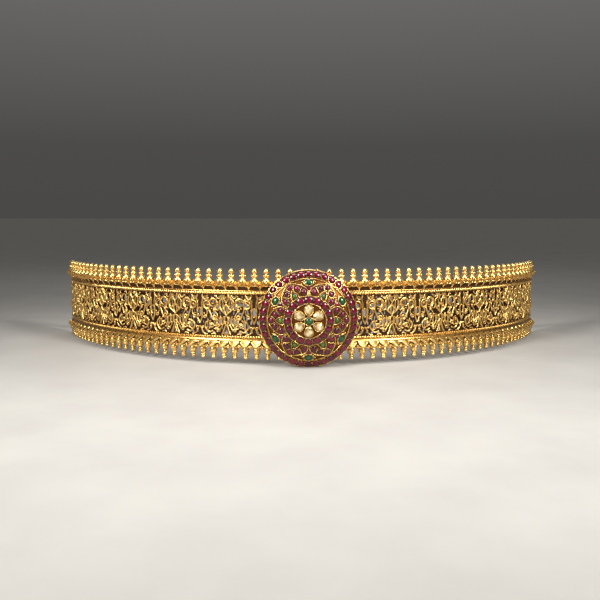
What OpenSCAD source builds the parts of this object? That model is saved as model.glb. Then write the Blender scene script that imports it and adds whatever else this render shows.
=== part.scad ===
// Oddiyanam: a rigid pierced half belt in two halves, a domed stone-set medallion in front of their
// joint, and a plain round-link chain that closes the loop behind. The belt rests on the medallion's
// rim and on the last finials of its lower row, so the half-bands lean back a little.

/* [Half belt] */
// Height of the half-bands over both rows of finials
belt_h = 43.2; // [38:0.2:52]
// Radius of the panel's outer face in plan
front_r = 145; // [120:1:170]
// Length of both half-bands together, along the panel's outer face
front_len = 356; // [300:1:400]
// Thickness of the panel
wall = 1.2; // [1:0.1:2]
// Distance of the joint of the two halves from the middle of the front
joint_s = 3.8; // [-6:0.1:6]
// Clear gap between the two halves at the joint
joint_gap = 0.3; // [0.2:0.05:1]

/* [Borders] */
// Height of the finials of the upper row
top_finial_h = 6.2; // [5:0.1:8]
// Height of the finials of the lower row
bottom_finial_h = 5.7; // [5:0.1:7]
// Distance from the upper rope's centre to the top of the upper flange
top_border_h = 5.5; // [4.5:0.1:7]
// Distance from the lower rope's centre to the bottom of the lower flange
bottom_border_h = 4.9; // [4.5:0.1:7]
// How far the flanges stand out from the panel's outer face
flange_out = 2.4; // [1.5:0.1:4]
// How far the flanges reach inward from the panel's outer face
flange_in = 2; // [1.6:0.1:4]
// Thickness of the flange at its outer edge
flange_t = 0.7; // [0.5:0.05:1.2]
// Height of the plain cove beside each rope
cove_h = 1.1; // [0.5:0.1:2]
// How far the cove stands out where the petals start
cove_out = 0.3; // [0.1:0.1:1]
// Radius of the rope wires
rope_r = 0.75; // [0.5:0.05:1]
// Radius of the plain wire above the upper rope
wire_r = 0.35; // [0.2:0.05:0.6]
// Spacing of the upper finials
top_pitch = 5.65; // [5:0.05:8]
// Spacing of the lower finials
bottom_pitch = 5.4; // [5:0.05:8]
// Distance of the first finial from the joint
first_finial = 3.5; // [2.5:0.1:5]
// Radius of a finial's base dome
finial_base_r = 1.95; // [1.6:0.05:2.2]
// Radius of a finial's middle bead
finial_bead_r = 1.5; // [1.2:0.05:1.7]
// Radius of a finial's tip ball
finial_tip_r = 1.3; // [1:0.05:1.5]
// Width of a petal as a share of the finials' spacing
petal_share = 0.92; // [0.7:0.01:0.95]
// How far the petals stand proud of the slope
petal_rise = 0.4; // [0.2:0.05:0.8]

/* [Scroll panel] */
// Spacing of the scroll pattern's main axes
repeat = 27.4; // [24:0.1:34]
// Distance of the first main axis from the joint
first_axis = 12.6; // [10:0.1:16]

/* [Clasp] */
// Radius of the clasp pin
pin_r = 0.7; // [0.5:0.05:1]
// Running clearance round the pin
pin_clear = 0.12; // [0.1:0.02:0.3]
// Wall of the knuckles round the pin
knuckle_wall = 0.8; // [0.6:0.05:1.5]
// Height of the middle knuckle
knuckle_h = 5; // [3:0.1:6]
// Radius of the knob on the clasp pin
knob_r = 1.15; // [0.9:0.05:1.6]
// Radius of the bars at the ends of the panels
bar_r = 0.9; // [0.7:0.05:1.4]

/* [Medallion] */
// Radius of the medallion
med_r = 22.9; // [20:0.1:26]
// How far the medallion's rim reaches below the lower finials
med_drop = 2.5; // [0:0.1:4]
// Height of the dome over its rim
med_dome = 7; // [5:0.1:10]
// Height of the plain rim band behind the dome
med_rim = 1.6; // [1:0.1:3]
// Thickness of the domed sheet
med_sheet = 2; // [1.7:0.1:3]
// Distance of the medallion's centre from the middle of the front
med_s = 3; // [-8:0.1:8]
// Forward lean of the medallion in degrees
med_lean = 3; // [0:0.5:6]
// Clear gap between the medallion's rim and the flanges
med_gap = 0.3; // [0.2:0.05:1]
// Radius of the two plain posts behind the medallion
post_r = 1.4; // [1:0.1:2]
// Distance of the posts from the joint
post_off = 5; // [4.5:0.1:8]

/* [Stones] */
// Clearance between a stone and its seat
seat_clear = 0.1; // [0.1:0.01:0.2]
// Depth of the stone seats
seat_d = 0.9; // [0.6:0.05:1.2]
// Height of a stone's top over the dome at its seat
stone_rise = 0.75; // [0.4:0.05:1.2]
// Half length of the outer and inner ring rubies
ruby_a = 1.9; // [1.4:0.05:1.95]
// Half width of the outer and inner ring rubies
ruby_b = 1.5; // [1.1:0.05:1.55]
// Slant of the ring rubies to the radius in degrees
ruby_slant = 35; // [0:1:50]
// Radius of the leaf rubies
leaf_ruby_r = 1.42; // [1:0.02:1.45]
// Size of the triangular rubies, as a share of 2.1 mm wide ones
wedge_size = 1.2; // [0.8:0.05:1.25]
// Half length of the oval emeralds
oval_a = 1.95; // [1.4:0.05:2]
// Half width of the oval emeralds
oval_b = 1.48; // [1:0.02:1.5]
// Radius of the small leaf emeralds
leaf_emerald_r = 1.25; // [0.8:0.05:1.3]
// Radius of the round centre emerald
centre_r = 1.75; // [1.4:0.05:1.85]
// Height of the centre emerald's top over the dome
centre_rise = 1.15; // [0.6:0.05:1.6]
// Half width of a polki drop
polki_w = 1.95; // [1.5:0.05:2.05]
// Number of rubies in the outer ring
outer_n = 36; // [24:1:36]
// Number of rubies in the inner ring
inner_n = 16; // [10:1:16]

/* [Back chain] */
// Mean radius of a link
link_r = 3.2; // [2.6:0.1:4]
// Radius of the links' wire
link_w = 0.75; // [0.5:0.05:0.9]
// Slack of each link on the next
link_slack = 0.2; // [0.15:0.05:0.5]
// Heading of the chain where it leaves each half-band, in degrees from straight outward
chain_heading = 96; // [92:1:120]

/* [Hidden] */
$fn = 48;

gold = [0.83, 0.63, 0.26];
ruby = [0.50, 0.05, 0.18];
emerald = [0.10, 0.36, 0.18];
polki = [0.90, 0.84, 0.66];

// Levels of the flanges and the ropes
flange_low = bottom_finial_h;
flange_high = belt_h - top_finial_h;
rope_low = flange_low + bottom_border_h;
rope_high = flange_high - top_border_h;
mid_z = (rope_low + rope_high) / 2;
panel_h = rope_high - rope_low - 2 * rope_r;
half_len = front_len / 2;

// Angle in plan of a length along the panel's outer face
function turn(s) = s / front_r * 180 / PI;
// Length of the half-band on one side of the joint: dir is 1 on the right, -1 on the left
function band_len(dir) = half_len - dir * joint_s;

// Puts a child at distance t from the joint; there x runs along the band and -y points outward
module on_arc(t, dir, out = 0, z = 0) {
    rotate([0, 0, turn(joint_s + dir * t)])
        translate([0, -(front_r + out), z])
            children();
}

// Moves everything from the plan's centre to the part's own origin under the middle of its box
module placed() {
    translate([0, plan_y, 0]) children();
}

// Section of a half-band: panel, coves, flared borders and flanges, with the ropes and the plain wire
module band_section() {
    low_cove = rope_low - rope_r;
    high_cove = rope_high + rope_r + 2 * wire_r;
    polygon([
        [front_r - flange_in, flange_low],
        [front_r + flange_out, flange_low],
        [front_r + flange_out, flange_low + flange_t],
        [front_r + cove_out, low_cove - cove_h],
        [front_r, low_cove],
        [front_r, high_cove],
        [front_r + cove_out, high_cove + cove_h],
        [front_r + flange_out, flange_high - flange_t],
        [front_r + flange_out, flange_high],
        [front_r - flange_in, flange_high],
        [front_r - flange_in, flange_high - flange_t],
        [front_r - wall, flange_high - 2 * flange_t],
        [front_r - wall, flange_low + 2 * flange_t],
        [front_r - flange_in, flange_low + flange_t]
    ]);
    for (z = [rope_low, rope_high])
        translate([front_r + 0.1, z]) circle(r = rope_r);
    translate([front_r + 0.1, rope_high + rope_r + wire_r - 0.1]) circle(r = wire_r);
}

// One finial, standing on z = 0 and let 0.3 into what is under it
finial_sink = 0.3;
module finial(h) {
    bead_z = (finial_base_r + h - 2 * finial_tip_r) / 2 + 0.1;
    rotate_extrude()
        intersection() {
            union() {
                translate([0, -finial_sink]) square([finial_base_r, finial_sink]);
                circle(r = finial_base_r);
                translate([finial_bead_r - 1, bead_z]) circle(r = 1);
                translate([0, bead_z - 1]) square([finial_bead_r - 1, 2]);
                square([0.8, h - finial_tip_r]);
                translate([0, h - finial_tip_r]) circle(r = finial_tip_r);
            }
            translate([0, -finial_sink]) square([finial_base_r + 1, h + 1]);
        }
}

// A shield-shaped petal on the slope between cove and flange; tip_up is 1 on the upper border
module petal(width, tip_up) {
    low = tip_up > 0 ? rope_high + rope_r + 2 * wire_r + cove_h : rope_low - rope_r - cove_h;
    edge = tip_up > 0 ? flange_high - flange_t : flange_low + flange_t;
    rise = edge - low;
    run = flange_out - cove_out;
    slope = norm([run, rise]);
    translate([0, -(cove_out + flange_out) / 2, (low + edge) / 2])
        rotate([180 - atan2(rise, run), 0, 0])
            linear_extrude(2 * petal_rise, center = true)
                polygon([
                    [-width * 0.36, -slope * 0.43],
                    [width * 0.36, -slope * 0.43],
                    [width * 0.5, -slope * 0.3],
                    [width * 0.5, 0],
                    [width * 0.3, slope * 0.26],
                    [0, slope * 0.43],
                    [-width * 0.3, slope * 0.26],
                    [-width * 0.5, 0],
                    [-width * 0.5, -slope * 0.3]
                ]);
}

// Outlines of the gaps, each about its own centre, w wide and h high
function lens(w, h, n = 10) =
    [for (k = [0 : n - 1]) [w / 2 * sin(k * 360 / n), h / 2 * cos(k * 360 / n)]];
function heart(w, h) =
    [[0, -h / 2], [w * 0.32, -h * 0.15], [w / 2, h * 0.3], [w * 0.28, h / 2], [0, h * 0.36],
     [-w * 0.28, h / 2], [-w / 2, h * 0.3], [-w * 0.32, -h * 0.15]];
function tent(w, h) =
    [[-w / 2, -h / 2], [w / 2, -h / 2], [w * 0.2, -h * 0.1], [0, h / 2], [-w * 0.2, -h * 0.1]];
function crescent(w, h, n = 6) =
    concat(
        [for (k = [0 : n]) [w / 2 - w * cos(-90 + k * 180 / n), h / 2 * sin(-90 + k * 180 / n)]],
        [for (k = [n - 1 : -1 : 1])
            [w / 2 - w * 0.35 * cos(-90 + k * 180 / n), h / 2 * sin(-90 + k * 180 / n)]]
    );

// The gaps of one repeat. Columns: outline, distance from the axis, height over the middle of the
// panel, width and height, as shares of the half repeat and of the panel's height
GAPS_ON_AXIS = [
    ["heart", 0, 0.385, 0.16, 0.12],
    ["lens", 0, 0.115, 0.09, 0.20],
    ["tent", 0, -0.385, 0.19, 0.17]
];
GAPS_BESIDE = [
    ["lens", 0.50, 0.29, 0.23, 0.16],
    ["crescent", 0.66, -0.27, 0.16, 0.19],
    ["lens", 0.27, -0.17, 0.09, 0.17]
];
GAPS_BETWEEN = [
    ["lens", 1, 0.06, 0.13, 0.20]
];

function outline(kind, w, h) =
    kind == "heart" ? heart(w, h) : kind == "tent" ? tent(w, h) : kind == "crescent" ? crescent(w, h)
    : lens(w, h);

// Cuts one gap; side mirrors it about the axis at distance t from the joint
module gap(g, t, dir, side) {
    half = repeat / 2;
    on_arc(t + side * g[1] * half, dir, 0, mid_z + g[2] * panel_h)
        rotate([90, 0, 0])
            translate([0, 0, -wall - 1])
                linear_extrude(wall + 2)
                    mirror([side * dir < 0 ? 1 : 0, 0])
                        polygon(outline(g[0], g[3] * half, g[4] * panel_h));
}

// All gaps of one half-band: on the main axes, beside them and midway between them
module gaps(dir) {
    margin = 3;
    last = band_len(dir) - margin;
    axes = [for (t = [first_axis : repeat : last]) t];
    for (t = axes) {
        for (g = GAPS_ON_AXIS)
            if (t < last - 1)
                gap(g, t, dir, 1);
        for (g = GAPS_BESIDE, side = [-1, 1])
            if (t + side * g[1] * repeat / 2 < last)
                gap(g, t, dir, side);
        for (g = GAPS_BETWEEN)
            if (t + repeat / 2 < last)
                gap(g, t, dir, 1);
    }
}

// Levels where the knuckles of the two halves part
knuckle_out = -(wall + knuckle_wall + pin_clear + pin_r + 0.15);
knuckle_r = pin_r + pin_clear + knuckle_wall;
function knuckle_levels(dir) =
    dir > 0 ? [[mid_z - knuckle_h / 2, knuckle_h]]
    : [[mid_z - knuckle_h * 1.5 - 0.3, knuckle_h], [mid_z + knuckle_h / 2 + 0.3, knuckle_h]];

// Knuckle tubes behind the joint, each on a block that stands on its own half-band
module knuckles(dir) {
    for (k = knuckle_levels(dir)) {
        on_arc(0, dir, knuckle_out, k[0]) cylinder(r = knuckle_r, h = k[1]);
        on_arc(0, dir, 0, k[0])
            translate([dir > 0 ? joint_gap : -joint_gap - 2, wall / 2, 0])
                cube([2, -knuckle_out - wall / 2, k[1]]);
    }
}

module pin_bore() {
    on_arc(0, 1, knuckle_out, -1) cylinder(r = pin_r + pin_clear, h = belt_h + 2);
}

// Distance of the chain eye's centre from the end bar's axis
eye_off = bar_r + link_r + link_w - 0.6;

// The eye at the free end, turned to the chain's heading; the chain's first link passes through it
module end_eye(dir) {
    on_arc(band_len(dir), dir, -wall / 2, mid_z)
        rotate([0, 0, dir * (chain_heading - turn(half_len))])
            translate([dir * eye_off, 0, 0])
                rotate([90, 0, 0])
                    rotate_extrude() translate([link_r, 0]) circle(r = link_w);
}

module half_band(dir) {
    len = band_len(dir);
    start = dir > 0 ? joint_s + joint_gap / 2 : -half_len;
    top_n = floor((len - first_finial - finial_base_r) / top_pitch);
    bottom_n = floor((len - first_finial - finial_base_r) / bottom_pitch);
    difference() {
        union() {
            rotate([0, 0, turn(start) - 90])
                rotate_extrude(angle = turn(len - joint_gap / 2)) band_section();
            for (k = [0 : top_n])
                on_arc(first_finial + k * top_pitch, dir, 0.2, flange_high) finial(top_finial_h);
            for (k = [0 : bottom_n])
                on_arc(first_finial + k * bottom_pitch, dir, 0.2, flange_low)
                    rotate([180, 0, 0]) finial(bottom_finial_h);
            for (k = [0 : top_n])
                on_arc(first_finial + k * top_pitch, dir) petal(top_pitch * petal_share, 1);
            for (k = [0 : bottom_n])
                on_arc(first_finial + k * bottom_pitch, dir) petal(bottom_pitch * petal_share, -1);
            for (t = [joint_gap / 2 + bar_r + 0.1, len])
                on_arc(t, dir, -wall / 2, rope_low) cylinder(r = bar_r, h = rope_high - rope_low);
            knuckles(dir);
            end_eye(dir);
        }
        gaps(dir);
        pin_bore();
    }
}

module band_left() {
    color(gold) leaned() half_band(-1);
}

module band_right() {
    color(gold) leaned() half_band(1);
}

// The pin stands on the topmost knuckle by its collar and shows its knob between the finials
module clasp_pin() {
    collar_z = mid_z + knuckle_h * 1.5 + 0.4;
    foot_z = mid_z - knuckle_h * 1.5 - 1;
    color(gold) leaned()
        on_arc(0, 1, knuckle_out) {
            translate([0, 0, foot_z]) cylinder(r = pin_r, h = belt_h - knob_r - foot_z);
            translate([0, 0, collar_z]) cylinder(r = pin_r + 0.6, h = 1);
            translate([0, 0, belt_h - knob_r - 0.2]) sphere(r = knob_r);
        }
}

// Radius of the sphere that the dome is cut from, and how far its centre lies behind the rim
dome_r = (med_r * med_r + med_dome * med_dome) / (2 * med_dome);
dome_back = dome_r - med_dome;
// Distance of the medallion's back plane from the panel's face, and its height, at its centre
med_out = flange_out + med_gap + med_r * sin(med_lean);
med_z = med_r * cos(med_lean) + med_rim * sin(med_lean) - med_drop;

// Leans the half-bands and the medallion back about the last lower finials, until the medallion's
// rim stands on the surface
pivot_y = -(front_r + 0.2) * cos(turn(half_len) - turn(3.5));
drop_z = med_drop + finial_tip_r;
pivot_reach = pivot_y + (front_r + med_out + med_rim - med_r * sin(med_lean)) * cos(turn(med_s));
tilt = atan2(drop_z, pivot_reach) - asin(finial_tip_r / norm([pivot_reach, drop_z]));
module leaned() {
    placed()
        translate([0, pivot_y, finial_tip_r])
            rotate([-tilt, 0, 0])
                translate([0, -pivot_y, -finial_tip_r])
                    children();
}

// Puts a child in the medallion's own frame: z along its axis, 0 at its back plane
module on_medallion() {
    leaned()
        rotate([0, 0, turn(med_s)])
            translate([0, -(front_r + med_out), med_z])
                rotate([90 + med_lean, 0, 0])
                    children();
}

// Puts a child on the dome at distance r from the axis: z is the dome's normal, x points outward
module on_dome(azimuth, r) {
    rotate([0, 0, azimuth])
        translate([0, 0, med_rim - dome_back])
            rotate([0, asin(r / dome_r), 0])
                translate([0, 0, dome_r])
                    children();
}

// Radial places of the stones, as shares of the medallion's radius
OUTER_RING = 0.925;
INNER_RING = 0.425;
OVALS = 0.765;
WEDGES = 0.642;
POLKIS = 0.233;
// One leaf. Columns: distance from the medallion's axis, angle from the leaf's own axis
LEAF_RUBIES = [[0.752, 0], [0.688, 10], [0.688, -10], [0.592, 20.5], [0.592, -20.5]];
LEAF_EMERALD = 0.565;

function oval(a, b, n = 16) = [for (k = [0 : n - 1]) [a * cos(k * 360 / n), b * sin(k * 360 / n)]];
// A rounded wedge whose point looks to -x
function wedge(c = 0, s = wedge_size) =
    [[-0.95 * s - 2 * c, 0], [0.45 * s + c, -1.05 * s - 1.6 * c], [0.75 * s + c, -0.8 * s - 1.2 * c],
     [0.75 * s + c, 0.8 * s + 1.2 * c], [0.45 * s + c, 1.05 * s + 1.6 * c]];
// A drop whose point looks to -x, towards the centre emerald
function drop(w, c = 0, n = 10) =
    concat(
        [for (k = [0 : n]) [(w + c) * cos(-110 + k * 220 / n), (w + c) * sin(-110 + k * 220 / n)]],
        [[-1.5 * w - 1.5 * c, 0.25 + c / 2], [-1.5 * w - 1.5 * c, -0.25 - c / 2]]
    );

// A domed stone over an outline, its base in the seat and its top over the dome's face
module cabochon(points, half, rise = stone_rise) {
    foot = seat_clear - seat_d;
    crown = rise * 0.8;
    ball = (half * half + crown * crown) / (2 * crown);
    intersection() {
        translate([0, 0, foot]) linear_extrude(rise - foot) polygon(points);
        translate([0, 0, rise - ball]) sphere(r = ball);
    }
}

// A seat for a stone: the same outline with its clearance, cut into the dome
module seat(points) {
    translate([0, 0, -seat_d]) linear_extrude(seat_d + 2) polygon(points);
}

// Every stone's place, so that the seats and the stones always agree
module at_outer_ring() {
    for (k = [0 : outer_n - 1])
        on_dome(90 + k * 360 / outer_n, OUTER_RING * med_r) rotate([0, 0, ruby_slant]) children();
}

module at_inner_ring() {
    for (k = [0 : inner_n - 1])
        on_dome(90 + k * 360 / inner_n, INNER_RING * med_r) rotate([0, 0, ruby_slant]) children();
}

module at_leaf_rubies() {
    for (leaf = [0 : 5], g = LEAF_RUBIES)
        on_dome(leaf * 60 + g[1], g[0] * med_r) children();
}

module at_leaf_emeralds() {
    for (leaf = [0 : 5])
        on_dome(leaf * 60, LEAF_EMERALD * med_r) children();
}

module at_wedges() {
    for (k = [0 : 5])
        on_dome(30 + k * 60, WEDGES * med_r) children();
}

module at_oval(k) {
    on_dome(90 - (k - 1) * 60, OVALS * med_r) rotate([0, 0, 90]) children();
}

module at_polki(k) {
    on_dome(90 - (k - 1) * 60, POLKIS * med_r) children();
}

module seats() {
    c = seat_clear;
    at_outer_ring() seat(oval(ruby_a + c, ruby_b + c));
    at_inner_ring() seat(oval(ruby_a + c, ruby_b + c));
    at_leaf_rubies() seat(oval(leaf_ruby_r + c, leaf_ruby_r + c));
    at_leaf_emeralds() seat(oval(leaf_emerald_r + c, leaf_emerald_r + c));
    at_wedges() seat(wedge(c));
    for (k = [1 : 6]) {
        at_oval(k) seat(oval(oval_a + c, oval_b + c));
        at_polki(k) seat(drop(polki_w, c));
    }
    on_dome(0, 0) translate([0, 0, -seat_d]) cylinder(r = centre_r + c, h = seat_d + 2);
}

// The dome between two spheres, on its rim band, open at the back
module dome_sheet() {
    difference() {
        union() {
            cylinder(r = med_r, h = med_rim);
            intersection() {
                translate([0, 0, med_rim - dome_back]) sphere(r = dome_r);
                cylinder(r = med_r, h = med_rim + med_dome + 1);
            }
        }
        intersection() {
            translate([0, 0, med_rim - dome_back - 0.4]) sphere(r = dome_r - med_sheet);
            translate([0, 0, -1]) cylinder(r = med_r - med_sheet, h = med_rim + med_dome + 1);
        }
    }
}

// The posts reach from the dome to the panel, one on each half-band
module posts() {
    post_clear = 0.15;
    for (dir = [-1, 1])
        leaned()
            on_arc(post_off, dir, post_clear, mid_z)
                rotate([90, 0, 0])
                    cylinder(r = post_r, h = med_out + med_rim + med_dome - med_sheet - post_clear);
}

module medallion_setting() {
    color(gold) {
        difference() {
            on_medallion() dome_sheet();
            on_medallion() seats();
        }
        posts();
    }
}

module centre_emerald() {
    ball = 2.2;
    color(emerald) on_medallion() on_dome(0, 0)
        intersection() {
            translate([0, 0, seat_clear - seat_d]) cylinder(r = centre_r, h = 3);
            translate([0, 0, centre_rise - ball]) sphere(r = ball);
        }
}

// A flat-topped stone with a table and a ring of facets
module polki_stone(k) {
    table_share = 0.62;
    girdle = 0.35;
    color(polki) on_medallion() at_polki(k)
        hull() {
            translate([0, 0, seat_clear - seat_d])
                linear_extrude(girdle + seat_d) polygon(drop(polki_w));
            translate([0, 0, seat_clear + stone_rise])
                linear_extrude(0.05) polygon([for (p = drop(polki_w)) p * table_share]);
        }
}

module oval_emerald(k) {
    color(emerald) on_medallion() at_oval(k) cabochon(oval(oval_a, oval_b), oval_a);
}

module ruby_inner_ring() {
    color(ruby) on_medallion() at_inner_ring() cabochon(oval(ruby_a, ruby_b), ruby_a);
}

module ruby_outer_ring() {
    color(ruby) on_medallion() at_outer_ring() cabochon(oval(ruby_a, ruby_b), ruby_a);
}

module ruby_leaves() {
    color(ruby) on_medallion() at_leaf_rubies()
        cabochon(oval(leaf_ruby_r, leaf_ruby_r), leaf_ruby_r);
}

module ruby_wedges() {
    color(ruby) on_medallion() at_wedges() cabochon(wedge(), 1.3 * wedge_size, stone_rise * 0.7);
}

module leaf_emeralds() {
    color(emerald) on_medallion() at_leaf_emeralds()
        cabochon(oval(leaf_emerald_r, leaf_emerald_r), leaf_emerald_r, stone_rise * 0.8);
}

// The chain leaves the right eye straight down, lands on the surface in a quarter circle, and runs
// round the back in one arc to the middle; the left is its mirror
lie_z = link_r * sin(45) + link_w;
end_turn = turn(half_len);
bar_x = (front_r - wall / 2) * sin(end_turn);
bar_y = -(front_r - wall / 2) * cos(end_turn);
eye_x = bar_x + eye_off * cos(chain_heading);
eye_y0 = bar_y + eye_off * sin(chain_heading);
// The lean of the half-bands moves the eye a little
eye_y = pivot_y + (eye_y0 - pivot_y) * cos(tilt) + (mid_z - finial_tip_r) * sin(tilt);
eye_z = finial_tip_r - (eye_y0 - pivot_y) * sin(tilt) + (mid_z - finial_tip_r) * cos(tilt);
drop_r = eye_z - lie_z;
land_x = eye_x + drop_r * cos(chain_heading);
land_y = eye_y + drop_r * sin(chain_heading);
back_r = land_x / sin(chain_heading);
back_y = land_y + back_r * (cos(chain_heading) + 1);
drop_len = drop_r * PI / 2;
back_len = back_r * (180 - chain_heading) * PI / 180;
half_chain = drop_len + back_len;
// Links on each side of the middle one, and their spacing
link_n = ceil(half_chain / (2 * (link_r - link_w) - link_slack)) - 1;
link_pitch = half_chain / (link_n + 1);

// Place of the chain at distance s from the eye's centre: x, y, z, heading and fall in degrees
function chain_at(s) =
    s < drop_len ?
        let (a = s / drop_r * 180 / PI)
        [eye_x + drop_r * (1 - cos(a)) * cos(chain_heading),
         eye_y + drop_r * (1 - cos(a)) * sin(chain_heading),
         eye_z - drop_r * sin(a), chain_heading, 90 - a]
    :
        let (a = chain_heading + (s - drop_len) / back_r * 180 / PI)
        [back_r * sin(a), land_y + back_r * (cos(chain_heading) - cos(a)), lie_z, a, 0];

// Links alternate by a quarter turn, and roll from upright at the eye to 45 degrees on the surface
module chain_link(k) {
    p = chain_at(k * link_pitch);
    roll = 90 * k + 45 * min(1, k * link_pitch / (0.75 * drop_len));
    translate([p[0], p[1], p[2]])
        rotate([0, 0, p[3]])
            rotate([0, p[4], 0])
                rotate([90 + roll, 0, 0])
                    rotate_extrude() translate([link_r, 0]) circle(r = link_w);
}

module back_chain() {
    color(gold) placed() {
        for (side = [0, 1])
            mirror([side, 0, 0])
                for (k = [1 : link_n])
                    chain_link(k);
        chain_link(link_n + 1);
    }
}

// Reach of the whole belt in front of and behind the plan's centre
nose = med_rim + med_dome + centre_rise;
nose_y = -(front_r + med_out + nose * cos(med_lean)) * cos(turn(med_s));
nose_z = med_z - nose * sin(med_lean);
front_reach = -pivot_y - (nose_y - pivot_y) * cos(tilt) - (nose_z - finial_tip_r) * sin(tilt);
back_reach = back_y + lie_z;
plan_y = (front_reach - back_reach) / 2;

band_left();
band_right();
clasp_pin();
medallion_setting();
centre_emerald();
for (k = [1 : 6])
    polki_stone(k);
for (k = [1 : 6])
    oval_emerald(k);
ruby_inner_ring();
ruby_leaves();
ruby_wedges();
leaf_emeralds();
ruby_outer_ring();
back_chain();
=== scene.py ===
from math import asin, atan2, ceil, cos, degrees, hypot, pi, radians, sin, sqrt, tau

import bpy
import numpy as np
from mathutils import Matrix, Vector
from mathutils.geometry import delaunay_2d_cdt

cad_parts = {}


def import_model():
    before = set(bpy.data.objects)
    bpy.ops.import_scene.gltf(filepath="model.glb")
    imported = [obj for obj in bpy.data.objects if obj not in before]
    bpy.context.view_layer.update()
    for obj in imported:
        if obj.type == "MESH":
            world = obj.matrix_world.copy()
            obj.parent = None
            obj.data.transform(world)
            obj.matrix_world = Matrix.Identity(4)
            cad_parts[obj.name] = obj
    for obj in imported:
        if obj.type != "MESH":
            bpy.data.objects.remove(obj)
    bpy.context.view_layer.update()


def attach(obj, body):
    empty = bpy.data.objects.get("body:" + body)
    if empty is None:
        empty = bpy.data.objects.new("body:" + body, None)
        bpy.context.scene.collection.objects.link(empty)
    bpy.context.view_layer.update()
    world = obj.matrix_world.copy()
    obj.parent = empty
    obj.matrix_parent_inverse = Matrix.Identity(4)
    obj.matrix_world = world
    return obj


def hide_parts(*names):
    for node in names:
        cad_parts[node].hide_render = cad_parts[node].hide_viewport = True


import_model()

# Sizes in millimetres, as in the part's source
# The panel's outer radius, half the front's length, the joint's distance from the middle, the gap at
# the joint, the panel's thickness and the height over the finials
R, HALF, JOINT, GAP, WALL, H = 145.0, 178.0, 3.8, 0.3, 1.2, 43.2
# Levels of the flanges and of the ropes' centres
FLOW, FHIGH, RLOW, RHIGH = 5.7, 37.0, 10.6, 31.5
# The flanges' reach out and in and the thickness of their edge, the coves' height and reach
FOUT, FIN, FT, COVE_H, COVE_OUT = 2.4, 2.0, 0.7, 1.1, 0.3
# Radii of the rope and of the plain wire
ROPE, WIRE = 0.75, 0.35
# Spacings of the finials, places of the first and the last, radii of base and tip, and how far out
# they stand
TOP_P, BOT_P, FIRST, LAST = 5.65, 5.4, 3.5, 3.5
BASE_R, TIP_R, FINIAL_OUT = 1.95, 1.3, 0.2
# Spacing of the scroll pattern's main axes, and place of the first
REPEAT, FIRST_AXIS = 27.4, 12.6
# The medallion's radius, reach below the finials, dome, rim band and sheet; its place, lean and gap
MED_R, MED_DROP, DOME, RIM, SHEET = 22.9, 2.5, 7.0, 1.6, 2.0
MED_S, LEAN, MED_GAP = 3.0, radians(3), 0.3
# The posts' radius, distance from the joint and clearance
POST_R, POST_OFF, POST_CLEAR = 1.4, 5.0, 0.15
# Heights of the stones' tops over the dome
CENTRE_RISE, RISE = 1.15, 0.75
# The clasp pin and its clearance, the knuckles' wall and height, and the knob
PIN_R, PIN_CLEAR, KNUCKLE_WALL, KNUCKLE_H, KNOB_R = 0.7, 0.12, 0.8, 5, 1.15
# The end bars, how far the eyes sink into them, and the links and heading of the chain
BAR_R, EYE_SINK = 0.9, 0.6
LINK_R, LINK_W, LINK_SLACK, HEADING = 3.2, 0.75, 0.2, radians(96)
MID = (RLOW + RHIGH) / 2
PANEL_H = RHIGH - RLOW - 2 * ROPE
KNUCKLE_OUT = -(WALL + KNUCKLE_WALL + PIN_CLEAR + PIN_R + 0.15)

# The lean of the half-bands and the place of the plan's centre, worked out as in the source
dome_r = (MED_R ** 2 + DOME ** 2) / (2 * DOME)
dome_centre = RIM - (dome_r - DOME)
med_out = FOUT + MED_GAP + MED_R * sin(LEAN)
med_z = MED_R * cos(LEAN) + RIM * sin(LEAN) - MED_DROP
pivot_y = -(R + FINIAL_OUT) * cos((HALF - LAST) / R)
reach = pivot_y + (R + med_out + RIM - MED_R * sin(LEAN)) * cos(MED_S / R)
tilt = atan2(MED_DROP + TIP_R, reach) - asin(TIP_R / hypot(reach, MED_DROP + TIP_R))
eye_off = BAR_R + LINK_R + LINK_W - EYE_SINK


def lean_yz(y, z):
    dy, dz = y - pivot_y, z - TIP_R
    c, s = cos(tilt), sin(tilt)
    return pivot_y + dy * c + dz * s, TIP_R - dy * s + dz * c


nose = RIM + DOME + CENTRE_RISE
nose_y = -(R + med_out + nose * cos(LEAN)) * cos(MED_S / R)
front_reach = -lean_yz(nose_y, med_z - nose * sin(LEAN))[0]
bar_x = (R - WALL / 2) * sin(HALF / R)
bar_y = -(R - WALL / 2) * cos(HALF / R)
eye_x = bar_x + eye_off * cos(HEADING)
eye_y, eye_z = lean_yz(bar_y + eye_off * sin(HEADING), MID)
lie_z = LINK_R * sin(pi / 4) + LINK_W
drop_r = eye_z - lie_z
back_r = (eye_x + drop_r * cos(HEADING)) / sin(HEADING)
back_y = eye_y + drop_r * sin(HEADING) + back_r * (cos(HEADING) + 1)
plan_y = (front_reach - back_y - lie_z) / 2


def world(p):
    """Points in the plan's frame, in mm, to the row frame, leaned, in metres."""
    p = np.asarray(p, float)
    y, z = lean_yz(p[..., 1], p[..., 2])
    return np.stack([p[..., 0], y + plan_y, z], -1) * 0.001


def bent(t, z, out, d):
    """Distance t from the joint on side d, height z and distance out from the panel's face."""
    a = (JOINT + d * np.asarray(t, float)) / R
    r = R + np.asarray(out, float)
    z = np.asarray(z, float) + 0 * a
    return world(np.stack([r * np.sin(a), -r * np.cos(a), z], -1))


def length(d):
    """Length of the half-band on side d: 1 is the right one, -1 the left."""
    return HALF - d * JOINT


def on_band(v, f, d):
    """A part in (distance from the joint, height, distance out), bent onto the half-band on side d."""
    return bent(v[:, 0], v[:, 1], v[:, 2], d), f if d > 0 else f[:, ::-1]


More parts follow.
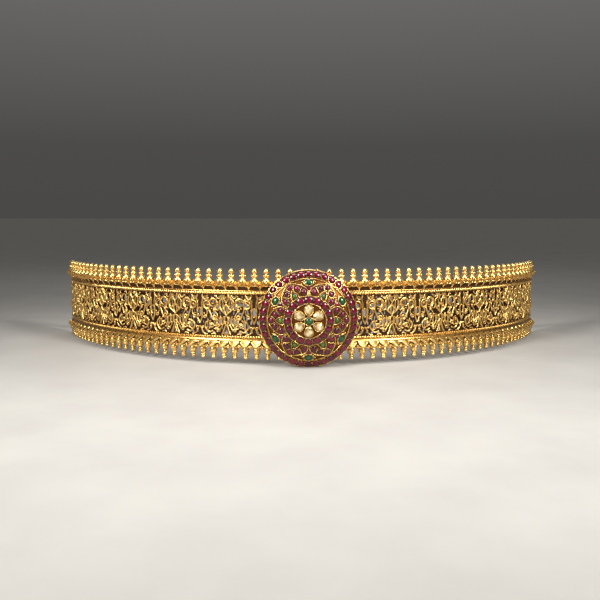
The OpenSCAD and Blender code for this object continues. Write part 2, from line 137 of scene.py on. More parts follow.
def upright(g, r, x, y, z):
    """Points of a form that stands upright at angle g and radius r, turned with the belt."""
    c, s = cos(g), sin(g)
    return world(np.stack([r * s + x * c - y * s, -r * c + x * s + y * c, z], 1))


# Mesh building. A part is a pair of arrays: vertices in mm, faces of one size
# Column order that turns a quad over about its first corner
TURNED = [0, 3, 2, 1]


def ring_faces(rows, n, closed=False):
    """Faces between rings of n points each; closed joins the last ring to the first."""
    i, j = np.meshgrid(np.arange(rows if closed else rows - 1), np.arange(n), indexing="ij")
    i, j = i.ravel(), j.ravel()
    k, l = (i + 1) % rows, (j + 1) % n
    return np.stack([i * n + j, i * n + l, k * n + l, k * n + j], 1)


def fan(n):
    """Faces from a ring of n points to the point that follows it."""
    q = np.arange(n)
    return np.stack([q, (q + 1) % n, np.full(n, n)], 1)


def tube(path, radius, sides, closed=False, flat=1.0, up=(0, 0, 1)):
    """A wire along a path; up is its upper side, and flat squashes it along up."""
    p = np.asarray(path, float)
    n = len(p)
    t = (np.roll(p, -1, 0) - np.roll(p, 1, 0)) if closed else np.gradient(p, axis=0)
    t /= np.linalg.norm(t, axis=1)[:, None] + 1e-12
    u = np.broadcast_to(np.asarray(up, float), p.shape)
    side = np.cross(t, u)
    side /= np.linalg.norm(side, axis=1)[:, None] + 1e-12
    u = np.cross(side, t)
    r = np.broadcast_to(np.asarray(radius, float), (n,))
    a = np.arange(sides) * tau / sides + pi / sides
    around = np.cos(a)[None, :, None] * side[:, None] + flat * np.sin(a)[None, :, None] * u[:, None]
    v = p[:, None] + r[:, None, None] * around
    parts = [(v.reshape(-1, 3), ring_faces(n, sides, closed))]
    if not closed:
        for e, o in ((0, 1), (n - 1, -1)):
            tip = v[e].mean(0) - t[e] * o * r[e] * 0.5
            cap = fan(sides)
            parts.append((np.vstack([v[e], tip]), cap[:, ::-1] if o < 0 else cap))
    return parts


def revolve(profile, sides):
    """A profile of (radius, height) turned about z."""
    pr = np.asarray(profile, float)
    a = np.arange(sides) * tau / sides
    heights = np.broadcast_to(pr[:, 1, None], (len(pr), sides))
    v = np.stack([pr[:, 0, None] * np.cos(a), pr[:, 0, None] * np.sin(a), heights], -1)
    return v.reshape(-1, 3), ring_faces(len(pr), sides)


def ball(r, sides, rings):
    a = np.linspace(-pi / 2, pi / 2, rings + 1)
    return revolve(np.stack([r * np.cos(a), r * np.sin(a)], 1), sides)


def smooth_path(points, steps=5, closed=False):
    """A smooth curve through the points."""
    p = np.asarray(points, float)
    n = len(p)
    if closed:
        q = np.vstack([p[-1], p, p[0], p[1]])
        m = n
    else:
        q = np.vstack([2 * p[0] - p[1], p, 2 * p[-1] - p[-2]])
        m = n - 1
    s = np.arange(steps)[:, None] / steps
    out = []
    for k in range(m):
        a, b, c, d = q[k:k + 4]
        cubic = (3 * b - a - 3 * c + d) * s ** 3
        out.append(0.5 * (2 * b + (c - a) * s + (2 * a - 5 * b + 4 * c - d) * s ** 2 + cubic))
    out = np.vstack(out)
    return out if closed else np.vstack([out, p[-1]])


def normals(poly):
    """The directions square to a closed outline at its points."""
    t = np.roll(poly, -1, 0) - np.roll(poly, 1, 0)
    n = np.stack([t[:, 1], -t[:, 0]], 1)
    return n / np.linalg.norm(n, axis=1)[:, None]


def make(name, parts, mat, sharp=50, replaces=(), painted_glow=None):
    """One mesh object from parts that are already in the row frame, in metres."""
    vs, fs, base = [], [], 0
    for v, f in parts:
        vs.append(v)
        for g in f if isinstance(f, list) else [f]:
            fs.extend((np.asarray(g) + base).tolist())
        base += len(v)
    me = bpy.data.meshes.new(name)
    me.from_pydata(np.vstack(vs).tolist(), [], fs)
    # The stones' painted glow goes into the heart attribute
    if painted_glow is not None:
        me.attributes.new("heart", "FLOAT", "POINT").data.foreach_set("value", np.concatenate(painted_glow))
    me.validate()
    me.shade_smooth()
    if sharp < 180:
        me.set_sharp_from_angle(angle=radians(sharp))
    me.materials.append(mat)
    o = bpy.data.objects.new(name, me)
    bpy.context.scene.collection.objects.link(o)
    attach(o, "root")
    if replaces:
        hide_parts(*replaces)
    return o


# Materials
def material(name):
    m = bpy.data.materials.new(name)
    m.use_nodes = True
    nt = m.node_tree
    nt.nodes.clear()
    out = nt.nodes.new("ShaderNodeOutputMaterial")
    sh = nt.nodes.new("ShaderNodeBsdfPrincipled")
    nt.links.new(sh.outputs["BSDF"], out.inputs["Surface"])
    return m, nt, sh


def put(node, **values):
    """Sets a node's inputs by name."""
    for name, value in values.items():
        node.inputs[name].default_value = value


def ramp(nt, stops, factor):
    r = nt.nodes.new("ShaderNodeValToRGB")
    e = r.color_ramp.elements
    while len(e) < len(stops):
        e.new(0.5)
    for k, (at, c) in enumerate(stops):
        e[k].position = at
        e[k].color = (*c, 1)
    nt.links.new(factor, r.inputs["Fac"])
    return r.outputs["Color"]


def noise(nt, scale, detail, rough=0.55):
    c = nt.nodes.new("ShaderNodeTexCoord")
    n = nt.nodes.new("ShaderNodeTexNoise")
    put(n, Scale=scale, Detail=detail, Roughness=rough)
    nt.links.new(c.outputs["Object"], n.inputs["Vector"])
    return n.outputs["Fac"]


def mixed(nt, a, b, factor, kind):
    m = nt.nodes.new("ShaderNodeMix")
    m.data_type = "RGBA"
    m.blend_type = kind
    for socket, value in (("Factor", factor), ("A", a), ("B", b)):
        wanted = "VALUE" if socket == "Factor" else "RGBA"
        s = [i for i in m.inputs if i.name == socket and i.type == wanted][0]
        if isinstance(value, (int, float)):
            s.default_value = value
        elif isinstance(value, tuple):
            s.default_value = (*value, 1)
        else:
            nt.links.new(value, s)
    return [o for o in m.outputs if o.type == "RGBA"][0]


def gold(name, bright, mid, oxide_and_shade, reach_mm, rough=0.24, bump=0.25, worn=0.35, metal=1.0):
    """Antique gold, bright where it stands free and brown in its hollows and between parts: partly oxide,
    partly painted shade from ambient occlusion.
    """
    m, nt, sh = material(name)
    # Ambient occlusion sets the colour: painted shade in hollows and between parts, with some oxide
    ao = nt.nodes.new("ShaderNodeAmbientOcclusion")
    ao.samples = 6
    put(ao, Distance=reach_mm * 0.001)
    colour = ramp(nt, [(0.0, oxide_and_shade), (0.42, mid), (0.85, bright)], ao.outputs["AO"])
    patches = ramp(nt, [(0.35, (0.72, 0.62, 0.5)), (0.62, (1, 1, 1))], noise(nt, 260, 4))
    colour = mixed(nt, colour, patches, worn, "MULTIPLY")
    nt.links.new(colour, sh.inputs["Base Color"])
    put(sh, Metallic=metal)
    rr = nt.nodes.new("ShaderNodeMapRange")
    put(rr, **{"To Min": rough - 0.06, "To Max": rough + 0.12})
    nt.links.new(noise(nt, 900, 3), rr.inputs["Value"])
    nt.links.new(rr.outputs["Result"], sh.inputs["Roughness"])
    b = nt.nodes.new("ShaderNodeBump")
    put(b, Strength=bump, Distance=0.00012)
    nt.links.new(noise(nt, 1500, 5, 0.6), b.inputs["Height"])
    nt.links.new(b.outputs["Normal"], sh.inputs["Normal"])
    return m


def gem(name, core, edge, glow, rough=0.07, metallic=0.0, spread=0.35):
    """A polished stone over foil: a painted glow in its middle for the light its foil gives back, painted
    shade at its edge, each one a little different.
    """
    m, nt, sh = material(name)
    # The heart attribute carries the painted glow: high at a stone's middle, 0 at its edge
    middle = nt.nodes.new("ShaderNodeAttribute")
    middle.attribute_name = "heart"
    geo = nt.nodes.new("ShaderNodeNewGeometry")
    colour = ramp(nt, [(0.0, edge), (0.35, glow), (1.0, core)], middle.outputs["Fac"])
    tones = [(0.0, (1 - spread,) * 3), (1.0, (1.0 + spread,) * 3)]
    vary = ramp(nt, tones, geo.outputs["Random Per Island"])
    colour = mixed(nt, colour, vary, 1.0, "MULTIPLY")
    cloud = ramp(nt, [(0.3, (0.6, 0.6, 0.6)), (0.7, (1.15, 1.15, 1.15))], noise(nt, 700, 3))
    colour = mixed(nt, colour, cloud, 0.6, "MULTIPLY")
    nt.links.new(colour, sh.inputs["Base Color"])
    put(sh, Roughness=rough, IOR=1.5, Metallic=metallic)
    return m


GOLD = gold("gold_worked", (0.88, 0.56, 0.18), (0.50, 0.25, 0.048), (0.035, 0.012, 0.002), 1.6)
GOLD_SCROLL = gold("gold_scroll", (0.92, 0.61, 0.21), (0.46, 0.23, 0.045), (0.025, 0.008, 0.002), 1.5,
                   rough=0.26)
GOLD_BRIGHT = gold("gold_polished", (0.96, 0.66, 0.23), (0.66, 0.37, 0.075), (0.08, 0.03, 0.006), 1.3,
                   rough=0.24, bump=0.12, worn=0.2)
# Near-black gold for the panel's front and the walls of its gaps: partly oxide in its recessed ground,
# partly painted shade between the raised wires
PANEL_OXIDE_AND_SHADE = gold("gold_recess_oxide_and_shade", (0.05, 0.021, 0.005), (0.03, 0.012, 0.003), (0.012, 0.005, 0.001), 2.0,
                  rough=0.5, bump=0.4, worn=0.5, metal=0.7)
# Near-black gold for the sheets laid under the arches and behind the petals: painted shade where the
# borders' hollows fall dark
PAINTED_SHADE = gold("gold_painted_shade", (0.085, 0.035, 0.008), (0.05, 0.02, 0.004), (0.01, 0.004, 0.001), 2.0,
              rough=0.5, bump=0.4, worn=0.6, metal=0.7)
GROUND = gold("gold_ground", (0.17, 0.062, 0.015), (0.09, 0.026, 0.008), (0.03, 0.008, 0.003), 1.4,
              rough=0.42, bump=0.5, worn=0.5)
LOZENGE = gold("gold_facets", (1.0, 0.58, 0.15), (0.86, 0.40, 0.07), (0.32, 0.12, 0.02), 0.8,
               rough=0.2, bump=0.05, worn=0.1)
RUBY = gem("ruby", (0.16, 0.005, 0.021), (0.035, 0.0, 0.004), (0.085, 0.002, 0.011), spread=0.5)
EMERALD = gem("emerald", (0.03, 0.125, 0.035), (0.003, 0.02, 0.006), (0.01, 0.055, 0.012))
OLIVE = gem("emerald_olive", (0.075, 0.12, 0.012), (0.010, 0.02, 0.003), (0.04, 0.075, 0.006))
POLKI = gem("polki", (0.80, 0.70, 0.44), (0.20, 0.11, 0.03), (0.42, 0.28, 0.10),
            rough=0.08, metallic=0.35, spread=0.12)


# Gaps of the panel, as in the part's source, and the fine ones that only the looks have
def lens(w, h, n=14):
    a = [tau * k / n for k in range(n)]
    return [(w / 2 * sin(x), h / 2 * cos(x)) for x in a]


def heart(w, h):
    right = [(w * .32, -h * .15), (w / 2, h * .3), (w * .28, h / 2)]
    return [(0, -h / 2), *right, (0, h * .36), *[(-x, y) for x, y in right[::-1]]]


def tent(w, h):
    return [(-w / 2, -h / 2), (w / 2, -h / 2), (w * .2, -h * .1), (0, h / 2), (-w * .2, -h * .1)]


def crescent(w, h, n=6):
    a = [radians(-90 + k * 180 / n) for k in range(n + 1)]
    outer = [(w / 2 - w * cos(x), h / 2 * sin(x)) for x in a]
    return outer + [(w / 2 - w * .35 * cos(x), h / 2 * sin(x)) for x in a[-2:0:-1]]


HALF_REP = REPEAT / 2
ON_AXIS = [(heart, 0, .385, .16, .12), (lens, 0, .115, .09, .20), (tent, 0, -.385, .19, .17)]
BESIDE = [(lens, .50, .29, .23, .16), (crescent, .66, -.27, .16, .19), (lens, .27, -.17, .09, .17)]
BETWEEN = [(lens, 1, .06, .13, .20)]
# Fine gaps: distance from the axis, height over the middle, width, height, turn in degrees
FINE = [
    (2.3, 5.0, 1.0, 4.2, 4), (4.4, 3.5, 1.4, 2.1, 0), (9.8, 4.5, 2.2, 1.6, 25), (3.6, 8.5, 1.5, .9, 0),
    (5.6, 8.5, 1.0, .7, 0), (7.8, 8.5, 1.1, .8, 0), (10.5, 7.9, 2.1, 1.3, -10), (3.5, .8, .8, 1.9, 12),
    (6.7, .6, 2.0, .9, 0), (8.6, 1.9, .9, 1.4, 0), (8.5, -1.3, .9, 1.9, -8), (1.5, -2.9, .9, 3.2, -14),
    (5.3, -3.7, 1.0, 2.7, -25), (3.9, -7.6, 1.2, 1.2, 0), (5.7, -6.3, 1.2, .6, 0),
    (6.6, -8.5, 1.5, .8, 0), (11.2, -5.6, 1.0, 1.6, 0), (9.7, -8.5, 1.6, .8, 0),
    (12.3, -8.1, 1.2, 1.0, 0), (10.4, 1.5, .8, 1.9, 0), (11.3, -1.3, 1.1, 1.5, 0),
    (12.1, -3.7, .9, 1.8, 12), (10.0, -2.2, .8, 1.2, 20), (12.5, 6.4, .9, 1.8, 0),
    (6.7, -4.7, .8, 1.5, 20), (2.3, -6.5, .7, 1.6, 18),
]
FINE_GROWTH = 1.2
# Where the gaps end before the free end, where the fine ones start, and how far a gap can reach
END_MARGIN, FINE_START, GAP_REACH = 3, 2.6, 4
# Points along and across the panel's sheet
SHEET_COLUMNS, SHEET_ROWS = 90, 9


def hole_list(d):
    """Every gap of a half-band, as outlines in (distance from the joint, height), and the main axes."""
    last = length(d) - END_MARGIN
    out = []
    axes = []
    t = FIRST_AXIS
    while t < last:
        axes.append(t)
        t += REPEAT

    def add(t, side, shape, u, v, w, h):
        z = MID + v * PANEL_H
        points = shape(w * HALF_REP, h * PANEL_H)
        out.append(np.array([(t + side * (u * HALF_REP + x), z + y) for x, y in points]))

    def add_fine(t, side, u, v, w, h, turn):
        c, s = cos(radians(turn)), sin(radians(turn))
        points = lens(w * FINE_GROWTH, h * FINE_GROWTH, 10)
        out.append(np.array([(t + side * (u + x * c + y * s), MID + v - x * s + y * c) for x, y in points]))

    for t in axes:
        for g in ON_AXIS:
            if t < last - 1:
                add(t, 1, *g)
        for side in (-1, 1):
            for g in BESIDE:
                if t + side * g[1] * HALF_REP < last:
                    add(t, side, *g)
            for g in FINE:
                if FINE_START < t + side * g[0] < last - 0.2:
                    add_fine(t, side, *g)
        for g in BETWEEN:
            if t + HALF_REP < last:
                add(t, 1, *g)
    return out, axes


def inside(p, poly):
    """Which of the points p lie inside an outline."""
    x, y = poly[:, 0], poly[:, 1]
    xn, yn = np.roll(x, -1), np.roll(y, -1)
    hit = np.zeros(len(p), bool)
    for a, b, c, e in zip(x, y, xn, yn):
        if b != e:
            hit ^= ((b > p[:, 1]) != (e > p[:, 1])) & (p[:, 0] < (c - a) * (p[:, 1] - b) / (e - b) + a)
    return hit


def in_gaps(p, holes):
    """Which of the points p lie in a gap."""
    hit = np.zeros(len(p), bool)
    for h in holes:
        near = (np.abs(p - h.mean(0)) < GAP_REACH).all(1)
        hit[near] |= inside(p[near], h)
    return hit


def panel(d):
    """The pierced sheet of a half-band: front, walls of the gaps, and rear; its axes and its gaps."""
    holes, axes = hole_list(d)
    end = length(d)
    pts, edges = [], []

    def loop(p):
        k = len(pts)
        pts.extend(map(tuple, p))
        edges.extend((k + i, k + (i + 1) % len(p)) for i in range(len(p)))

    s = np.linspace(GAP / 2, end, SHEET_COLUMNS)
    loop([(x, RLOW) for x in s] + [(x, RHIGH) for x in s[::-1]])
    for h in holes:
        loop(h)
    levels = np.linspace(RLOW, RHIGH, SHEET_ROWS)[1:-1]
    seeds = np.array([(x, z) for x in s[1:-1] for z in levels])
    pts.extend(map(tuple, seeds[~in_gaps(seeds, holes)]))
    v, _, f, _, _, _ = delaunay_2d_cdt([Vector(p) for p in pts], edges, [], 0, 1e-4)
    v = np.array([tuple(p) for p in v])
    f = np.array([tuple(t) for t in f if len(t) == 3])
    f = f[~in_gaps(v[f].mean(1), holes)]
    area = np.cross(v[f[:, 1]] - v[f[:, 0]], v[f[:, 2]] - v[f[:, 0]])
    f[area < 0] = f[area < 0][:, ::-1]
    n = len(v)
    e = np.vstack([f[:, [0, 1]], f[:, [1, 2]], f[:, [2, 0]]])
    key = e[:, 0].astype(np.int64) * n + e[:, 1]
    back = e[:, 1].astype(np.int64) * n + e[:, 0]
    rim = e[~np.isin(key, back)]
    front = bent(v[:, 0], v[:, 1], 0, d)
    rear = bent(v[:, 0], v[:, 1], -WALL, d)
    verts = np.vstack([front, rear])
    if d < 0:
        f, rim = f[:, ::-1], rim[:, ::-1]
    quads = np.stack([rim[:, 1], rim[:, 0], rim[:, 0] + n, rim[:, 1] + n], 1)
    return [(verts, f), (verts, quads), (verts, f[:, ::-1] + n)], axes, holes


def curl(cx, cy, r, start, turns, tail=(), n=14):
    """A spiral: centre, outer radius, start angle, turns, and a tail that leaves its outer end."""
    a = np.linspace(0, 1, n)
    ang = radians(start) + tau * turns * (1 - a)
    rad = r * (0.28 + 0.72 * a)
    spiral = np.stack([cx + rad * np.cos(ang), cy + rad * np.sin(ang)], 1)
    return np.vstack([spiral, smooth_path([spiral[-1], *tail], 4)[1:]]) if len(tail) else spiral


# The scroll pattern of one half repeat, given as points or a curl in (distance from the axis,
# height over the middle of the panel), and the wire's radius
CHART = [
    ([(.9, 9.5), (1.5, 8.2), (.8, 6.9), (0, 6.1)], .34),
    ([(1.9, 9.5), (2.2, 7.9), (3.3, 6.5), (3.6, 4.6), (3.0, 2.7), (1.5, 1.3), (.2, .2)], .36),
    ([(0, 5.2), (.95, 3.7), (1.0, 2.3), (.6, .9), (0, -.2)], .33),
    ([(1.5, 5.9), (1.5, 4.6), (1.7, 3.2), (2.4, 1.9)], .26),
    (curl(6.1, -1.2, 1.35, 0, -1.35, [(7.9, .2), (8.7, 2.2), (8.7, 4.3), (8.6, 6.3), (7.2, 7.7),
        (5.4, 7.3), (4.6, 5.7), (5.0, 4.0), (6.2, 3.2)]), .36),
    ([(8.9, 3.0), (10.1, 2.9), (11.4, 3.5), (11.8, 4.9), (11.2, 6.2), (9.8, 6.6), (9.0, 5.8)], .32),
    (curl(6.2, 2.0, .75, 60, 1.1, [(5.3, .9), (4.6, -.2), (4.3, -1.6)]), .26),
    ([(12.5, 9.5), (12.1, 7.6), (12.6, 5.4), (12.5, 3.2), (12.4, .8), (12.6, -1.6), (13.2, -3.2),
        (13.7, -4.2)], .34),
    (curl(11.0, -.9, 1.0, 120, 1.2, [(9.9, .2), (9.6, 1.6), (10.2, 2.6)]), .28),
    ([(9.0, -2.9), (10.4, -3.8), (10.9, -5.5), (10.2, -7.2), (8.7, -8.3), (6.9, -7.8)], .36),
    (curl(7.4, -5.3, 1.25, 30, 1.3, [(8.6, -3.4), (7.7, -2.7)]), .32),
    ([(3.0, -.5), (2.6, -2.0), (2.8, -3.9), (3.5, -5.3), (4.8, -6.4), (6.0, -6.7)], .32),
    ([(4.7, -2.0), (4.9, -3.5), (4.5, -4.8), (5.2, -5.8)], .28),
    ([(.2, -4.4), (.8, -6.0), (1.5, -8.0), (2.2, -9.5)], .34),
    (curl(4.2, -7.6, 1.0, 200, -1.0, [(3.1, -7.0), (2.2, -5.6), (1.5, -4.4), (.2, -3.2)]), .30),
    ([(.1, -.4), (.9, -1.6), (1.1, -3.0), (.6, -4.3), (0, -5.0)], .30),
    ([(2.5, 9.5), (3.4, 7.9), (4.6, 8.1), (5.2, 9.5)], .28),
    ([(9.4, 9.5), (10.2, 8.0), (11.0, 7.4), (12.0, 8.2)], .28),
    ([(5.3, -9.5), (6.2, -9.0), (7.6, -9.4)], .28),
    ([(9.8, -9.5), (11.0, -9.3), (12.3, -8.2), (12.8, -6.6), (13.7, -5.6)], .32),
    (curl(12.2, -6.2, .7, 300, 1.0), .24),
]
SCROLLS = [(smooth_path(p) if isinstance(p, list) else p, r) for p, r in CHART]
# Grains of the same half repeat: distance from the axis, height over the middle, radius
GRAINS = [
    (0, 5.7, .42), (3.9, 3.0, .34), (8.9, 2.6, .36), (1.7, -4.9, .34), (4.3, -.6, .34), (2.6, -6.7, .3),
    (9.2, -2.5, .38), (12.3, 2.2, .34), (2.5, 7.4, .46), (11.2, .6, .42), (4.9, 6.9, .42),
    (8.9, 6.1, .42), (3.4, -3.0, .44), (8.4, -6.4, .48), (12.4, -7.4, .42), (5.6, 9.0, .4),
    (1.3, 3.2, .38), (7.3, 3.0, .4), (6.9, -7.6, .34), (4.4, 8.0, .3), (12.1, 7.9, .32), (0, -.2, .36),
    (5.3, -6.9, .28), (9.0, 6.9, .34), (10.4, -8.3, .3),
]
# Height of the panel in the chart, the box of the smallest gap with a rim, and clear lengths at the
# panel's ends
CHART_H, RIMMED_BOX, CLEAR_END = 19.4, 3.2, 1.4


def scrolls(d, axes, holes):
    """Raised scroll wires and grains over the panel of a half-band, and rims round its larger gaps."""
    end = length(d)
    parts = []
    bead_v, bead_f = ball(1, 8, 4)
    for h in holes:
        if np.ptp(h[:, 0]) * np.ptp(h[:, 1]) < RIMMED_BOX:
            continue
        nrm = normals(h)
        if ((h - h.mean(0)) * nrm).sum() < 0:
            nrm = -nrm
        q = h + nrm * .17
        if q[:, 0].min() > CLEAR_END and q[:, 0].max() < end - 1.1:
            rim = np.column_stack([q, np.full(len(q), .06)])
            parts += [on_band(v, f, d) for v, f in tube(rim, .26, 6, True, flat=1.3)]
    for t in [FIRST_AXIS - REPEAT, *axes, axes[-1] + REPEAT]:
        for side in (-1, 1):
            for line, r in SCROLLS:
                heights = MID + line[:, 1] * PANEL_H / CHART_H
                p = np.stack([t + side * line[:, 0], heights, np.full(len(line), 0.12)], 1)
                if p[:, 0].min() < CLEAR_END or p[:, 0].max() > end - 1.2:
                    continue
                lift = 1 + 0.25 * sin(p[0, 0] * 1.7 + r * 9)
                parts += [on_band(v, f, d) for v, f in tube(p, r * 1.2, 8, flat=1.15 * lift)]
            for u, z, r in GRAINS:
                x = t + side * u
                at = np.array([[x, MID + z]])
                if any(abs(h[0, 0] - x) < GAP_REACH and inside(at, h)[0] for h in holes):
                    continue
                if CLEAR_END < x < end - CLEAR_END and not (u == 0 and side < 0):
                    q = bead_v * r
                    q = np.stack([q[:, 0] + x, q[:, 1] + MID + z, q[:, 2] + .42], 1)
                    parts.append(on_band(q, bead_f, d))
    return parts


def strip(section, d):
    """A closed section of (out, height) run along a half-band, with its ends closed."""
    n = int(length(d) / 2.0)
    t = np.linspace(GAP / 2, length(d), n)
    v = np.stack([bent(t, z, out, d) for out, z in section], 1)
    f = ring_faces(n, len(section))[:, TURNED]
    first = np.arange(len(section))[None]
    last = first[:, ::-1]
    if d < 0:
        f, first, last = f[:, ::-1], last, first
    return [(v.reshape(-1, 3), f), (v[0], first), (v[-1], last)]


LOW_COVE, HIGH_COVE = RLOW - ROPE, RHIGH + ROPE + 2 * WIRE
# Sections of the borders: distance out, height
UPPER = [
    (-WALL, RHIGH - .6), (0, RHIGH - .6), (0, HIGH_COVE), (.08, HIGH_COVE + .7),
    (COVE_OUT, HIGH_COVE + COVE_H), (FOUT, FHIGH - FT), (FOUT, FHIGH), (-FIN, FHIGH), (-FIN, FHIGH - FT),
    (-WALL, FHIGH - 2 * FT),
]
LOWER = [
    (-WALL, FLOW + 2 * FT), (-FIN, FLOW + FT), (-FIN, FLOW), (FOUT, FLOW), (FOUT, FLOW + FT),
    (COVE_OUT, LOW_COVE - COVE_H), (.08, LOW_COVE - .7), (0, LOW_COVE), (0, RLOW + .6),
    (-WALL, RLOW + .6),
]
# Pitch of the twist, and offset and radius of its two strands
TWIST, STRAND_OFF, STRAND_R = 2.56, .36, .43


def rope(z, d, hand=1):
    """A rope of two twisted wires."""
    n = int(length(d) / TWIST * 12)
    t = np.linspace(GAP / 2 + .2, length(d) - .2, n)
    parts = []
    for k in (0, 1):
        a = hand * tau * t / TWIST + k * pi
        p = np.stack([t, z + STRAND_OFF * np.cos(a), .15 + STRAND_OFF * np.sin(a)], 1)
        parts += [on_band(v, f, d) for v, f in tube(p, STRAND_R, 7)]
    return parts


def plain_wire(z, out, r, d):
    t = np.linspace(GAP / 2 + .1, length(d) - .1, 90)
    path = np.stack([t, z + 0 * t, out + 0 * t], 1)
    return [on_band(v, f, d) for v, f in tube(path, r, 8)]


# Profiles of the finials: radius, height
TOP_FINIAL = [
    (2.08, -.2), (2.18, .12), (2.13, .5), (1.86, 1.05), (1.38, 1.52), (1.05, 1.82), (1.0, 1.95),
    (1.1, 2.1), (1.2, 2.5), (1.2, 2.95), (1.05, 3.35), (.85, 3.6), (.78, 3.72), (1.0, 3.95),
    (1.28, 4.32), (1.39, 4.8), (1.35, 5.26), (1.14, 5.68), (.8, 5.99), (.4, 6.16), (0, 6.2),
]
BOTTOM_FINIAL = [
    (1.2, -.3), (1.5, 0), (1.75, .5), (1.86, 1.1), (1.84, 1.55), (1.66, 1.72), (1.66, 1.86), (1.82, 2.0),
    (1.7, 2.45), (1.35, 2.85), (.9, 3.1), (.82, 3.22), (1.08, 3.36), (1.2, 3.65), (1.12, 3.95),
    (.84, 4.12), (.8, 4.2), (1.05, 4.42), (1.16, 4.75), (1.1, 5.1), (.85, 5.42), (.45, 5.63), (0, 5.7),
]
# Beads round the neck of each upper finial: number, distance from its axis, level, half width and height
NECK_BEADS, NECK_R, NECK_Z, NECK_W, NECK_H = 7, 1.08, 2.72, .5, .62


def count(pitch, d):
    """Number of finials in a row of one half-band."""
    return int((length(d) - FIRST - BASE_R) // pitch) + 1


def finials(profile, z, pitch, d, flip):
    """A row of turned finials; those that point up have small beads round the neck."""
    v0, f0 = revolve(profile, 16)
    bead_v, bead_f = ball(1, 8, 4)
    foot = R + FINIAL_OUT
    parts = []
    for k in range(count(pitch, d)):
        a = (JOINT + d * (FIRST + k * pitch)) / R
        heights = z + (-v0[:, 2] if flip else v0[:, 2])
        parts.append((upright(a, foot, v0[:, 0], v0[:, 1], heights), f0[:, ::-1] if flip else f0))
        for q in range(0 if flip else NECK_BEADS):
            b = q * tau / NECK_BEADS
            x = bead_v[:, 0] * NECK_W + NECK_R * cos(b)
            y = bead_v[:, 1] * NECK_W + NECK_R * sin(b)
            parts.append((upright(a, foot, x, y, bead_v[:, 2] * NECK_H + z + NECK_Z), bead_f))
    return parts


def grid(rows, cols):
    """Faces of a grid of points, rows by columns."""
    i, j = np.meshgrid(np.arange(rows - 1), np.arange(cols - 1), indexing="ij")
    a = (i * cols + j).ravel()
    return np.stack([a, a + 1, a + cols + 1, a + cols], 1)


def top_out(z):
    """How far the upper border stands out at a height."""
    levels = [HIGH_COVE, HIGH_COVE + COVE_H, FHIGH - FT, FHIGH]
    return np.interp(z, levels, [0, COVE_OUT, FOUT, FOUT])


def low_out(z):
    """How far the lower border stands out at a height."""
    levels = [FLOW, FLOW + FT, LOW_COVE - COVE_H, LOW_COVE]
    return np.interp(z, levels, [FOUT, FOUT, COVE_OUT, 0])


# Forms of the borders in (distance from their axis, level); a share is one of the finials' spacing
# The arch over the cove: shares, levels, and the level of the foot of the painted shade under it
ARCH_X = [-.5, -.46, -.36, -.2, 0, .2, .36, .46, .5]
ARCH_Z = [33.25, 34.0, 34.75, 35.3, 35.0, 35.3, 34.75, 34.0, 33.25]
ARCH_FOOT = 33.0
# The lozenge between two finials, with distance out, and its facets
LOZENGE_POINTS = [
    (0, 37.4, 2.2), (1.5, 36.2, 2.2), (0, 34.8, 1.3), (-1.5, 36.2, 2.2),
    (0, 36.9, 2.85), (.9, 36.25, 2.9), (0, 35.5, 2.7), (-.9, 36.25, 2.9),
]
LOZENGE_FACES = np.array([(0, 4, 5, 1), (1, 5, 6, 2), (2, 6, 7, 3), (3, 7, 4, 0), (4, 7, 6, 5)])[:, ::-1]
STALK = [(0, 35.1), (0, 34.3), (0, 33.5)]
STALK_BEAD = 33.3
VALLEY = [(-.75, 34.9), (-.35, 34.2), (0, 33.9), (.35, 34.2), (.75, 34.9)]
DROP_RING = [(0, 36.95), (.48, 36.4), (.42, 35.7), (0, 35.15), (-.42, 35.7), (-.48, 36.4)]
# The right half of a petal in shares, the level of its middle, and the rings from its edge to its
# middle: share of its size, height over the slope
PETAL = [(.39, 9.0), (.41, 8.35), (.38, 7.9), (.28, 7.35), (.14, 6.8), (0, 6.35)]
PETAL_MIDDLE = 8.1
PETAL_RINGS = ((1.0, -.05), (.97, .32), (.8, .42), (.45, .58), (.06, .62))
# Right stem under a petal, in shares
STEM = [(.47, 6.9), (.4, 6.35), (.37, 5.75)]
BORDER_BEAD = ball(1, 10, 6)


def trim_line(dst, d, t, pts, r, lift, out, closed=False):
    """A wire on a border, through points about distance t from the joint."""
    p = smooth_path(pts, 4, closed)
    q = np.stack([t + p[:, 0], p[:, 1], out(p[:, 1]) + lift], 1)
    dst.extend(on_band(v, f, d) for v, f in tube(q, r, 6, closed))


def grain(dst, d, t, z, out, r):
    v, f = BORDER_BEAD
    dst.append(on_band(np.stack([v[:, 0] * r + t, v[:, 1] * r + z, v[:, 2] * r + out], 1), f, d))


def upper_trims(d, dst):
    """Arches over a sheet of painted shade, lozenges, loops and grains between and under the upper finials.
    """
    p = TOP_P
    for k in range(count(p, d)):
        t = FIRST + k * p
        between = t + .5 * p
        if between < length(d) - .3:
            trim_line(dst["rims"], d, t, [(x * p, z) for x, z in zip(ARCH_X, ARCH_Z)], .31, .2, top_out)
            # A sheet of painted shade under the arch, from its foot up to the arch
            x = np.linspace(-.49, .49, 11)
            rise = (np.interp(x, ARCH_X, ARCH_Z) - ARCH_FOOT)[None]
            z = ARCH_FOOT + rise * np.linspace(0, 1, 5)[:, None]
            ground = np.stack([t + p * np.broadcast_to(x, z.shape), z, top_out(z) + .03], -1)
            dst["patina"].append(on_band(ground.reshape(-1, 3), grid(5, 11), d))
            facets = np.array([(between + u, v, w) for u, v, w in LOZENGE_POINTS])
            dst["lozenges"].append(on_band(facets, LOZENGE_FACES, d))
            trim_line(dst["rims"], d, between, STALK, .27, .2, top_out)
            grain(dst["arches"], d, between, STALK_BEAD, top_out(STALK_BEAD) + .2, .36)
            trim_line(dst["arches"], d, between, VALLEY, .15, .12, top_out)
        trim_line(dst["arches"], d, t, DROP_RING, .19, .1, top_out, True)
        for u in (-.27, .27):
            grain(dst["arches"], d, t + u * p, 36.65, 2.45, .3)


